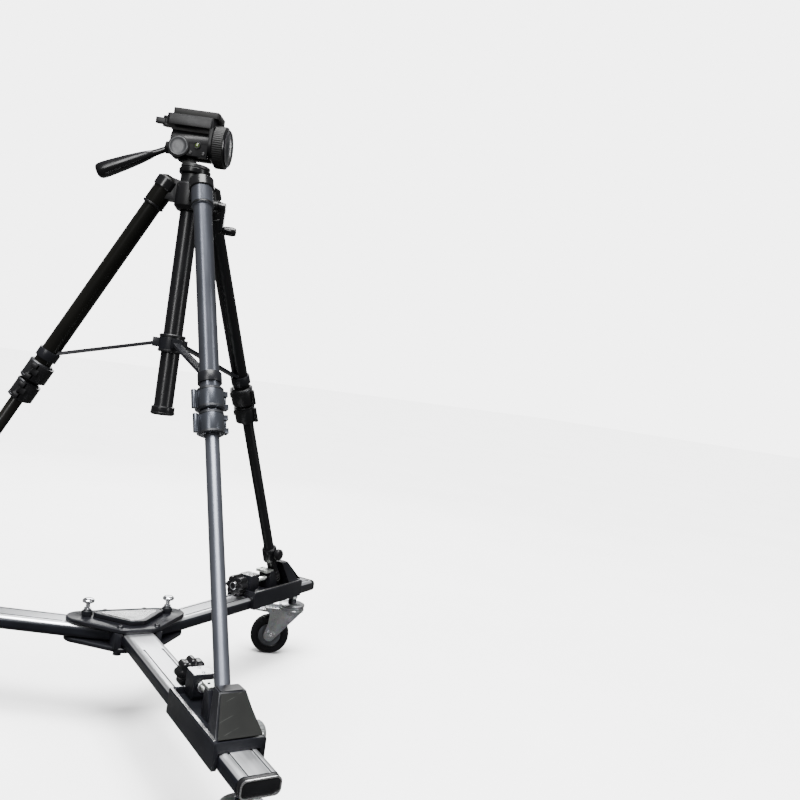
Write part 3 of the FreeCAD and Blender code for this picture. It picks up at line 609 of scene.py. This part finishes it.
# ---------------------------------------------------------------- CAD nodes: finish and softened edges
def soft_edge_group():
    """Geometry nodes: smooth faces, and edges sharper than the limit kept crisp."""
    group = bpy.data.node_groups.new("crisp_edges", "GeometryNodeTree")
    group.interface.new_socket("Geometry", in_out="INPUT", socket_type="NodeSocketGeometry")
    group.interface.new_socket("Geometry", in_out="OUTPUT", socket_type="NodeSocketGeometry")
    start = group.nodes.new("NodeGroupInput")
    end = group.nodes.new("NodeGroupOutput")
    faces = group.nodes.new("GeometryNodeSetShadeSmooth")
    edges = group.nodes.new("GeometryNodeSetShadeSmooth")
    edges.domain = "EDGE"
    edges.inputs["Shade Smooth"].default_value = False
    angle = group.nodes.new("GeometryNodeInputMeshEdgeAngle")
    compare = group.nodes.new("FunctionNodeCompare")
    compare.operation = "GREATER_THAN"
    compare.inputs[1].default_value = SHARP
    group.links.new(angle.outputs["Unsigned Angle"], compare.inputs[0])
    group.links.new(start.outputs[0], faces.inputs["Geometry"])
    group.links.new(faces.outputs["Geometry"], edges.inputs["Geometry"])
    group.links.new(compare.outputs["Result"], edges.inputs["Selection"])
    group.links.new(edges.outputs["Geometry"], end.inputs[0])
    return group


CRISP = soft_edge_group()


def dress(node, mat, bevel=0.0004):
    """Gives a CAD node its material and rounds its hard edges with modifiers."""
    piece = frame["nodes"][node]
    if not piece.material_slots:
        piece.data.materials.append(mat)
    for slot in piece.material_slots:
        slot.link = "OBJECT"
        slot.material = mat
    weld = piece.modifiers.new("weld", "WELD")
    weld.merge_threshold = 1e-6
    if bevel:
        mod = piece.modifiers.new("edge", "BEVEL")
        mod.width = bevel
        mod.segments = 2
        mod.limit_method = "ANGLE"
        mod.angle_limit = SHARP
    crisp = piece.modifiers.new("crisp", "NODES")
    crisp.node_group = CRISP


# Painted light: one satin tube finish in three tones, the front leg a lighter grey as a painted
# highlight, the left leg a faint olive painted sheen, the right leg plain black.
LEG_PAINTED_LIGHT = {
    "front": ((0.058, 0.062, 0.074), (0.086, 0.091, 0.107), 0.30, 0.75),
    "right": ((0.0025, 0.0025, 0.0030), (0.0055, 0.0055, 0.0062), 0.30, 0.05),
    "left": ((0.0036, 0.0036, 0.0030), (0.0072, 0.0070, 0.0060), 0.30, 0.15),
}


def dress_everything():
    # Painted highlight: the front leg's collars and levers get a lighter grey than the black plastic
    # on the other legs.
    front_collar_highlight = tube_finish(
        "front_collar_painted_highlight", "front", (0.034, 0.037, 0.044), (0.050, 0.054, 0.064), 0.26, 0.7)
    for node in ("hub_top_plate", "hub_bottom_plate", "hub_badge"):
        dress(node, BLACK_PAINT, 0.0006)
    dress("arm_end_plugs", BLACK_PLASTIC, 0.0008)
    for name, deg in ARMS:
        dress("arm_" + name, arm_painted_side_shade("arm_metal_painted_shade_" + name, deg), 0.0005)
        dress("caster_fork_" + name, ZINC, 0.0005)
        dress("caster_brake_" + name, ZINC, 0.0005)
        dress("caster_tyre_" + name, TYRE, 0.0006)
        dress("caster_rim_" + name, RIM_GREY, 0.0004)
        dress("carrier_" + name, BLACK_PAINT, 0.0006)
        dress("clamp_jaw_" + name, BLACK_PAINT, 0.0006)
        dress("clamp_knob_" + name, GLOSS_PLASTIC, 0.0004)
        dress("carrier_lock_" + name, KNOB_GREY, 0.0003)
        # The leg's tone carries the painted highlight of the front leg and the painted sheen of the
        # left leg.
        painted_leg_tone = LEG_PAINTED_LIGHT[name]
        leg = tube_finish("leg_tube_painted_light_" + name, name, *painted_leg_tone)
        dress("leg_upper_" + name, leg, 0.0004)
        dress("leg_lower_" + name, leg, 0.0004)
        # Front leg: painted highlight grey; the other legs: black plastic.
        moulded = front_collar_highlight if name == "front" else BLACK_PLASTIC
        for part in ("leg_collars_", "upper_lever_", "lower_lever_"):
            dress(part + name, moulded, 0.0006)
    for name in ("right", "left"):
        dress("pull_pin_" + name, CHROME, 0.0003)
    dark_tube = tube_finish(
        "column_tube", "left", (0.0028, 0.0028, 0.0032), (0.0060, 0.0060, 0.0068), 0.28, 0.0)
    dress("guide_tube", dark_tube, 0.0004)
    dress("center_column", dark_tube, 0.0004)
    dress("crown", BLACK_PLASTIC, 0.0008)
    dress("center_brace", BLACK_PAINT, 0.0004)
    dress("crank", GLOSS_PLASTIC, 0.0006)
    for node in ("pan_base", "tilt_body", "head_platform", "qr_lever"):
        dress(node, BLACK_PLASTIC, 0.0006)
    dress("side_drum", GLOSS_PLASTIC, 0.0005)
    dress("qr_plate", SOFT_RUBBER, 0.0005)
    dress("pan_handle", GLOSS_PLASTIC, 0.0005)


dress_everything()


# ---------------------------------------------------------------- casters
def caster_details(name, deg):
    wheel = wheel_frame(deg)
    spin = wheel @ AXLE_TURN
    fork, rolling = "caster_fork_" + name, "caster_wheel_" + name
    half = [
        (0.0216, 0.0108), (0.0232, 0.0116), (0.0240, 0.0110), (0.0250, 0.0110), (0.0258, 0.0120),
        (0.0300, 0.0124), (0.0335, 0.0120), (0.0358, 0.0104), (0.0370, 0.0080), (0.0374, 0.0045)]
    tyre = lathe(
        "tyre_" + name, half + [(0.0375, 0.0)] + [(r, -h) for r, h in half[::-1]], spin, TYRE,
        rolling, 72)
    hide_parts("caster_tyre_" + name)
    for side in (1, -1):
        face = spin if side > 0 else spin @ Matrix.Rotation(math.pi, 4, "X")
        tag = name + ("_a" if side > 0 else "_b")
        lathe(
            "hub_dish_" + tag,
            [(0.0070, 0.0104), (0.0090, 0.0118), (0.0104, 0.0104), (0.0170, 0.0106),
             (0.0186, 0.0114), (0.0206, 0.0112), (0.0206, 0.0100), (0.0070, 0.0100)], face,
            RIM_GREY, rolling, 56)
        lathe(
            "bearing_" + tag,
            [(0.0, 0.0100), (0.0078, 0.0100), (0.0078, 0.0122), (0.0070, 0.0126), (0.0062, 0.0120),
             (0.0050, 0.0130), (0.0, 0.0132)], face, CHROME, rolling, 36)
        cheek = face @ Matrix.Translation((0, 0, 0.0165))
        hex_bolt("axle_nut_" + tag, 0.0072, 0.0043, cheek, ZINC, fork)
        lathe(
            "axle_end_" + tag,
            [(0.0, 0.0040), (0.0036, 0.0040), (0.0036, 0.0054), (0.0028, 0.0061), (0.0, 0.0063)],
            cheek, BRUSHED_STEEL, fork, 24)
        for t, z in ((0.0, 0.0838), (-0.014, 0.0862)):
            spot = wheel @ Matrix.Translation(
                (t - TRAIL + 0.004, side * 0.0165, z - WHEEL_R)) @ along((0, side, 0))
            lathe(
                "cheek_rivet_%s_%d" % (tag, int(-t * 1000)),
                [(0.0, -0.0006), (0.0024, -0.0006), (0.0024, 0.0004), (0.0017, 0.0012),
                 (0.0, 0.0015)], spot, ZINC, fork, 20)
    swivel = arm_frame(deg, CASTER_U)
    ring_band("race_lip_" + name, 0.0235, 0.0250, 0.0900, 0.0922, swivel, BRUSHED_STEEL, fork)
    lathe(
        "race_shell_" + name,
        [(0.0180, 0.1020), (0.0254, 0.1000), (0.0256, 0.0990), (0.0250, 0.0982), (0.0240, 0.0982),
         (0.0180, 0.1000)], swivel, ZINC, "dolly_frame", 56)
    coil(
        "stem_spring_" + name, 0.0082, 0.0011, 0.0027, 4.4,
        swivel @ Matrix.Translation((0, 0, 0.1118)), ZINC, "dolly_frame", 28)
    pedal = wheel @ Matrix.Translation((-TRAIL, 0, -WHEEL_R))
    # Painted shade: thin dark bars raised on the pedal top stand in for the shade inside its slots.
    slots = [(x, x + 0.0028, -0.0085, 0.0085, 0.0869, 0.0874) for x in (0.030, 0.0355, 0.041)]
    boxes("pedal_slot_shade_" + name, slots, pedal, SLOT_SHADE_PAINT, "caster_brake_" + name, 0.0001)


# ---------------------------------------------------------------- leg carriers and clamps
def carrier_details(name, deg):
    arm = arm_frame(deg)
    carrier, jaw, knob = "carrier_" + name, "clamp_jaw_" + name, "clamp_knob_" + name
    slope = Vector((0.7266, 0, 0.688)) * 0.0009
    corners = [
        (0.4128, -0.0262, 0.1605), (0.4128, 0.0262, 0.1605), (0.3785, 0.0144, 0.1958),
        (0.3785, -0.0144, 0.1958)]
    low = [Vector(c) - slope * 0.6 for c in corners]
    high = [Vector(c) + slope for c in corners]
    hexahedron("block_face_" + name, low, high, arm, OLIVE_GREY, carrier)
    slab(
        "block_cap_" + name, rounded_rect(0.3592, 0.3764, -0.0138, 0.0138, 0.002), 0.1968, 0.1979,
        arm, BLACK_PLASTIC, carrier)
    slab(
        "post_cap_" + name, rounded_rect(0.2682, 0.2938, -0.0134, 0.0134, 0.0022), 0.1838, 0.1851,
        arm, BADGE_SILVER, carrier, 0.0005)
    for x in (0.2732, 0.2888):
        spot = arm @ Matrix.Translation((x, 0, 0.1849))
        socket_screw(
            "post_screw_%s_%d" % (name, int(x * 1e4)), 0.0022, spot, BRUSHED_STEEL, carrier)
    lathe(
        "post_bush_" + name,
        [(0.0047, 0.0), (0.0074, 0.0), (0.0074, 0.0007), (0.0066, 0.0014), (0.0047, 0.0014)],
        arm @ Matrix.Translation((0.2940, 0, SCREW_Z)) @ along((1, 0, 0)), BRUSHED_STEEL, carrier,
        36)
    slab(
        "jaw_plate_" + name, rounded_rect(0.3154, 0.3376, -0.0126, 0.0126, 0.0016), 0.1822, 0.1871,
        arm, PALE_STEEL, jaw, 0.0005)
    for y in (-0.0075, 0.0075):
        socket_screw(
            "jaw_screw_%s_%s" % (name, "p" if y > 0 else "n"), 0.0019,
            arm @ Matrix.Translation((0.3265, y, 0.1870)), BLACK_PAINT, jaw)
    for tag, v0, v1 in (("a", 0.0256, 0.0292), ("b", -0.0292, -0.0256)):
        slab(
            "carrier_rail_%s_%s" % (tag, name), rounded_rect(0.2640, 0.4090, v0, v1, 0.0012),
            0.1588, 0.1595, arm, BADGE_SILVER, carrier, 0.0002)
    turn = arm @ Matrix.Translation((0, 0, SCREW_Z)) @ along((1, 0, 0))
    profile = [
        (0.0042, 0.2342, 0), (0.0072, 0.2342, 0), (0.0080, 0.2350, 0), (0.0084, 0.2366, 0),
        (0.0150, 0.2368, 0.6), (0.0178, 0.2376, 1), (0.0188, 0.2396, 1), (0.0190, 0.2420, 1),
        (0.0190, 0.2510, 1), (0.0187, 0.2536, 1), (0.0172, 0.2556, 0.9), (0.0140, 0.2566, 0.4),
        (0.0104, 0.2578, 0), (0.0092, 0.2606, 0), (0.0086, 0.2632, 0), (0.0042, 0.2634, 0)]
    grip = fluted("knob_grip_" + name, profile, 8, 0.0034, turn, GLOSS_PLASTIC, knob)
    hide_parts("clamp_knob_" + name)
    threaded("knob_screw_" + name, 0.0045, 0.2400, 0.3338, 0.0018, turn, PALE_STEEL, knob)
    ring_band("knob_cap_ring_" + name, 0.0052, 0.0066, 0.2336, 0.2346, turn, CHROME, knob)
    side = arm @ Matrix.Translation((0.368, 0, 0.141)) @ along((0, 1, 0))
    lathe(
        "lock_face_" + name,
        [(0.0, 0.0470), (0.0100, 0.0472), (0.0106, 0.0478), (0.0100, 0.0484), (0.0086, 0.0480),
         (0.0060, 0.0484), (0.0, 0.0486)], side, KNOB_GREY, "carrier_lock_" + name, 40)
    lathe(
        "lock_collar_" + name,
        [(0.0040, 0.0302), (0.0118, 0.0302), (0.0128, 0.0310), (0.0128, 0.0322), (0.0040, 0.0322)],
        side, BRUSHED_STEEL, "carrier_lock_" + name, 40)


# ---------------------------------------------------------------- hub
def hub_details():
    here = Matrix.Translation(HUB)
    centres = [(-0.006, -0.011), (0.006, -0.011), (0.042, 0.029), (-0.042, 0.029)]
    slab(
        "badge_insert", circle_hull(centres, 0.0070, 10), 0.1590, 0.1601, here, BADGE_RIM,
        "dolly_frame", 0.0003)
    slab(
        "badge_field", circle_hull([(x * 0.86, y * 0.86 + 0.0012) for x, y in centres], 0.0050, 10),
        0.1600, 0.1608, here, BADGE_SILVER, "dolly_frame", 0.0003)
    for x, y in ((0.027, -0.027), (-0.027, -0.027), (0.030, 0.051), (-0.030, 0.051)):
        spot = here @ Matrix.Translation((x, y, HUB_TOP_Z + 0.0013))
        socket_screw(
            "hub_screw_%d_%d" % (x * 1000 + 100, y * 1000 + 100), 0.0040, spot, BLACK_PAINT,
            "dolly_frame")
    for name, deg in ARMS[1:]:
        pin = arm_frame(deg, PIN_U)
        knurl = [
            (0.0068, 0.1542, 0), (0.0076, 0.1548, 0.2), (0.0078, 0.1556, 1), (0.0078, 0.1614, 1),
            (0.0074, 0.1622, 0.2), (0.0068, 0.1626, 0)]
        bore = [(0.0046, 0.1626, 0), (0.0046, 0.1542, 0)]
        fluted("pin_collar_" + name, knurl + bore, 28, 0.0006, pin, BLACK_PAINT, "dolly_frame", 168)
        lathe(
            "pin_dome_" + name,
            [(0.0, 0.1790), (0.0086, 0.1762), (0.0088, 0.1770), (0.0084, 0.1784), (0.0066, 0.1800),
             (0.0036, 0.1808), (0.0, 0.1810)], pin, CHROME, "pull_pin_" + name, 44)
    for name, deg in ARMS:
        arm = arm_frame(deg)
        plug = arm @ Matrix.Translation((ARM_END_U, 0, ARM_MID_Z)) @ along((1, 0, 0))
        rim = rounded_rect(-0.0103, 0.0103, -0.0232, 0.0232, 0.0070)
        hole = rounded_rect(-0.0086, 0.0086, -0.0214, 0.0214, 0.0056)
        frame_ring(
            "plug_rim_" + name, rim, hole, -0.0006, 0.0007, plug, BADGE_SILVER, "dolly_frame")
        for u in (0.030, 0.052):
            spot = arm @ Matrix.Translation((u, 0, 0.1188)) @ along((0, 0, -1))
            hex_bolt(
                "under_bolt_%s_%d" % (name, u * 1000), 0.0050, 0.0034, spot, ZINC, "dolly_frame")


# ---------------------------------------------------------------- tripod
def leg_details(name, deg):
    leg = leg_frame(name, deg)
    upper, lower = "tripod", "leg_lower_" + name
    ring_band(
        "elbow_cap_" + name, 0.0150, 0.0178, 0.0765, 0.0925, leg, GLOSS_PLASTIC, upper, 0.0012)
    ring_band("sleeve_ring_" + name, 0.0150, 0.0162, 0.1190, 0.1215, leg, BLACK_PLASTIC, upper)
    upper_ring, lower_ring = (0.0140, 0.0175), (0.0130, 0.0163)
    for tag, radii, w in (
            ("a", upper_ring, 0.4065), ("c", upper_ring, 0.4310), ("b", lower_ring, 0.4395),
            ("d", lower_ring, 0.4650)):
        ring_band(
            "collar_ring_%s_%s" % (tag, name), *radii, w, w + COLLAR_RING, leg, COLLAR_METAL, upper)
    for w in (0.7935, 0.7985, 0.8035):
        ring_band(
            "foot_rib_%s_%d" % (name, w * 1e4), 0.0090, 0.0116, w, w + 0.0024, leg, SOFT_RUBBER,
            lower, 0.0008)


def tripod_details():
    here = Matrix.Translation(HUB)
    for name, r_in, r_out, z in (
            ("brace_ring_low", 0.0146, 0.0192, 0.5615), ("brace_ring_top", 0.0146, 0.0192, 0.5835),
            ("tube_end_ring", 0.0160, 0.0176, 0.4685)):
        ring_band(name, r_in, r_out, z, z + COLLAR_RING, here, BLACK_PLASTIC, "tripod")


# ---------------------------------------------------------------- pan head
def paddle_grip():
    """Tapering grip with a slim neck and a flat rounded end."""
    slope = math.radians(26)
    axis = Vector((-math.cos(slope), 0, -math.sin(slope)))
    side = Vector((0, 1, 0))
    over = side.cross(axis)
    start = Vector((-0.0365, 0, 0.8645))
    shape = (
        (0.0010, 0.0043, 0.0043), (0.0200, 0.0044, 0.0044), (0.0310, 0.0047, 0.0046),
        (0.0345, 0.0060, 0.0056), (0.0400, 0.0072, 0.0066), (0.0500, 0.0086, 0.0078),
        (0.0640, 0.0101, 0.0092), (0.0800, 0.0113, 0.0104), (0.0960, 0.0119, 0.0112),
        (0.1060, 0.0123, 0.0118), (0.1130, 0.0121, 0.0116), (0.1172, 0.0112, 0.0106),
        (0.1192, 0.0094, 0.0088), (0.1198, 0.0060, 0.0056))
    stations = []
    for s, wide, deep in shape:
        ring = []
        for i in range(40):
            a = 2 * math.pi * i / 40
            c, d = math.cos(a), math.sin(a)
            x = wide * math.copysign(abs(c) ** 0.86, c)
            y = deep * math.copysign(abs(d) ** 0.86, d)
            ring.append(start + axis * s + side * x + over * y)
        stations.append(ring)
    grip = sweep("paddle_grip", stations, head_frame(), GLOSS_PLASTIC, "pan_handle", 0, 1)
    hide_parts("pan_handle")
    turn = Matrix((over, side, axis)).transposed()
    place = head_frame() @ Matrix.Translation(start) @ turn.to_4x4()
    ring_band("grip_ferrule", 0.0042, 0.0060, 0.0080, 0.0120, place, BLACK_PLASTIC, "pan_handle")


def head_details():
    pad = head_frame()
    ribs = []
    for k in range(22):
        x = -0.0365 + k * 0.003
        if abs(x + 0.0032) > 0.0082:
            ribs.append((x, x + 0.0016, -0.0185, 0.0185, 0.9166, 0.9178))
    boxes("pad_ribs", ribs, pad, SOFT_RUBBER, "head_platform", 0.0004)
    stud = head_frame(-0.004, 0, 0)
    lathe(
        "stud_seat",
        [(0.0034, 0.9166), (0.0078, 0.9166), (0.0078, 0.9174), (0.0070, 0.9180), (0.0034, 0.9180)],
        stud, BRUSHED_STEEL, "head_platform", 40)
    threaded(
        "stud_thread", 0.0034, 0.9172, 0.9222, 0.0013, stud, BRUSHED_STEEL, "head_platform", 0.0005)
    ring_band("scale_ring", 0.0200, 0.0213, 0.8352, 0.8392, pad, SCALE_RING, "pan_base", 0.0002, 72)
    for side in (1, -1):
        tag = "a" if side > 0 else "b"
        disc = head_frame(-0.024, 0, 0.862) @ along((0, side, 0))
        lathe(
            "pivot_cover_" + tag,
            [(0.0, 0.0188), (0.0138, 0.0188), (0.0140, 0.0196), (0.0132, 0.0204), (0.0116, 0.0204),
             (0.0108, 0.0200), (0.0060, 0.0203), (0.0, 0.0204)], disc, DISC_GREY, "tilt_body", 56)
        for x, z in ((-0.006, 0.855), (0.013, 0.855)):
            spot = head_frame(x, side * 0.0173, z) @ along((0, side, 0))
            lathe(
                "body_plug_%s_%d" % (tag, x * 1000),
                [(0.0, -0.0006), (0.0026, -0.0006), (0.0026, 0.0005), (0.0020, 0.0009),
                 (0.0, 0.0007)], spot, BLACK_PLASTIC, "tilt_body", 24)
    drum = head_frame(0, 0, HEAD_TILT_Z) @ along((1, 0, 0))
    knurl = [
        (0.0285, 0.0270, 0), (0.0304, 0.0274, 0.3), (0.0307, 0.0284, 1), (0.0307, 0.0406, 1),
        (0.0304, 0.0416, 0.3), (0.0285, 0.0420, 0)]
    fluted("drum_grip", knurl, 60, 0.0007, drum, SOFT_RUBBER, "side_drum", 240)
    lathe(
        "drum_face",
        [(0.0, 0.0444), (0.0262, 0.0444), (0.0266, 0.0450), (0.0258, 0.0456), (0.0238, 0.0456),
         (0.0230, 0.0450), (0.0120, 0.0452), (0.0110, 0.0458), (0.0, 0.0460)], drum, DISC_GREY,
        "side_drum", 64)
    level = head_frame(0.0030, -0.0172, 0.8665) @ along((0, -1, 0))
    lathe(
        "level_ring",
        [(0.0036, -0.0008), (0.0052, -0.0008), (0.0052, 0.0010), (0.0046, 0.0015),
         (0.0036, 0.0012)], level, BLACK_PLASTIC, "tilt_body", 36)
    lathe(
        "level_vial",
        [(0.0, -0.0004), (0.0037, -0.0004), (0.0037, 0.0006), (0.0026, 0.0013), (0.0, 0.0016)],
        level, VIAL_GREEN, "tilt_body", 36)
    spans = [
        (-0.066 + k * 0.0032, -0.0644 + k * 0.0032, -0.003, 0.003, 0.9038, 0.9048)
        for k in range(4)]
    boxes("lever_ridges", spans, pad, GLOSS_PLASTIC, "qr_lever", 0.0002)


for name, deg in ARMS:
    caster_details(name, deg)
    carrier_details(name, deg)
    leg_details(name, deg)
hub_details()
tripod_details()
paddle_grip()
head_details()


# ---------------------------------------------------------------- stage, lights and camera
def area_light(name, place, target, size, energy):
    data = bpy.data.lights.new(name, "AREA")
    data.shape = "RECTANGLE"
    data.size, data.size_y = size
    data.energy = energy
    lamp = bpy.data.objects.new(name, data)
    lamp.location = place
    aim = Vector(target) - Vector(place)
    lamp.rotation_euler = aim.to_track_quat("-Z", "Y").to_euler()
    bpy.context.scene.collection.objects.link(lamp)


def soft_sun():
    """Wide overhead light that keeps the floor evenly pale to the horizon."""
    data = bpy.data.lights.new("overhead", "SUN")
    data.energy = 17.0
    data.angle = math.radians(45)
    lamp = bpy.data.objects.new("overhead", data)
    lamp.rotation_euler = (math.radians(12), math.radians(-8), 0)
    bpy.context.scene.collection.objects.link(lamp)


def make_stage():
    bm = bmesh.new()
    reach = 30.0
    corners = [
        bm.verts.new((x, y, 0.0))
        for x, y in ((-reach, -reach), (reach, -reach), (reach, reach), (-reach, reach))]
    bm.faces.new(corners)
    mesh = bpy.data.meshes.new("studio_floor")
    bm.to_mesh(mesh)
    bm.free()
    floor = bpy.data.objects.new("studio_floor", mesh)
    bpy.context.scene.collection.objects.link(floor)
    f = Finish("studio_floor_paint")
    f.set("Base Color", f.tint(f.noise((2, 2, 2)), (0.88, 0.88, 0.88), (0.92, 0.92, 0.92)))
    f.set("Roughness", f.span(f.noise((6, 6, 6)), 0.75, 0.85))
    mesh.materials.append(f.mat)
    floor.visible_diffuse = False
    floor.visible_glossy = False
    world = bpy.data.worlds.new("studio_light")
    bpy.context.scene.world = world
    world.use_nodes = True
    sky = world.node_tree.nodes["Background"]
    sky.inputs["Color"].default_value = (1.0, 1.0, 1.0, 1)
    seen = world.node_tree.nodes.new("ShaderNodeLightPath")
    level = world.node_tree.nodes.new("ShaderNodeMapRange")
    level.inputs["To Min"].default_value = WORLD_LIGHT
    level.inputs["To Max"].default_value = WORLD_SEEN
    world.node_tree.links.new(seen.outputs["Is Camera Ray"], level.inputs["Value"])
    world.node_tree.links.new(level.outputs["Result"], sky.inputs["Strength"])


def make_camera():
    """Low and close, turned right and leaning, as the support was photographed."""
    stand = HUB + Vector((-0.379, -1.189, 0.557))
    yaw, pitch, roll = -0.592, 0.0155, 0.14
    ahead = Vector(
        (-math.sin(yaw) * math.cos(pitch), math.cos(yaw) * math.cos(pitch), -math.sin(pitch)))
    right = Vector((math.cos(yaw), math.sin(yaw), 0))
    up = right.cross(ahead)
    right_rolled = math.cos(roll) * right + math.sin(roll) * up
    up_rolled = -math.sin(roll) * right + math.cos(roll) * up
    data = bpy.data.cameras.new("camera")
    data.sensor_width = 36.0
    data.lens = LENS_MM
    data.clip_start = 0.01
    data.clip_end = 100.0
    cam = bpy.data.objects.new("camera", data)
    turn = Matrix((right_rolled, up_rolled, -ahead)).transposed()
    cam.matrix_world = Matrix.Translation(stand) @ turn.to_4x4()
    bpy.context.scene.collection.objects.link(cam)
    bpy.context.scene.camera = cam


make_stage()
soft_sun()
area_light("key", HUB + Vector((-1.9, -1.6, 1.7)), HUB + Vector((0, 0, 0.5)), (0.5, 1.6), 60)
area_light("side", HUB + Vector((1.6, -2.2, 1.3)), HUB + Vector((0, 0, 0.4)), (0.4, 1.4), 34)
area_light("rim", HUB + Vector((0.9, 2.2, 1.6)), HUB + Vector((0, 0, 0.5)), (1.4, 0.8), 40)
make_camera()
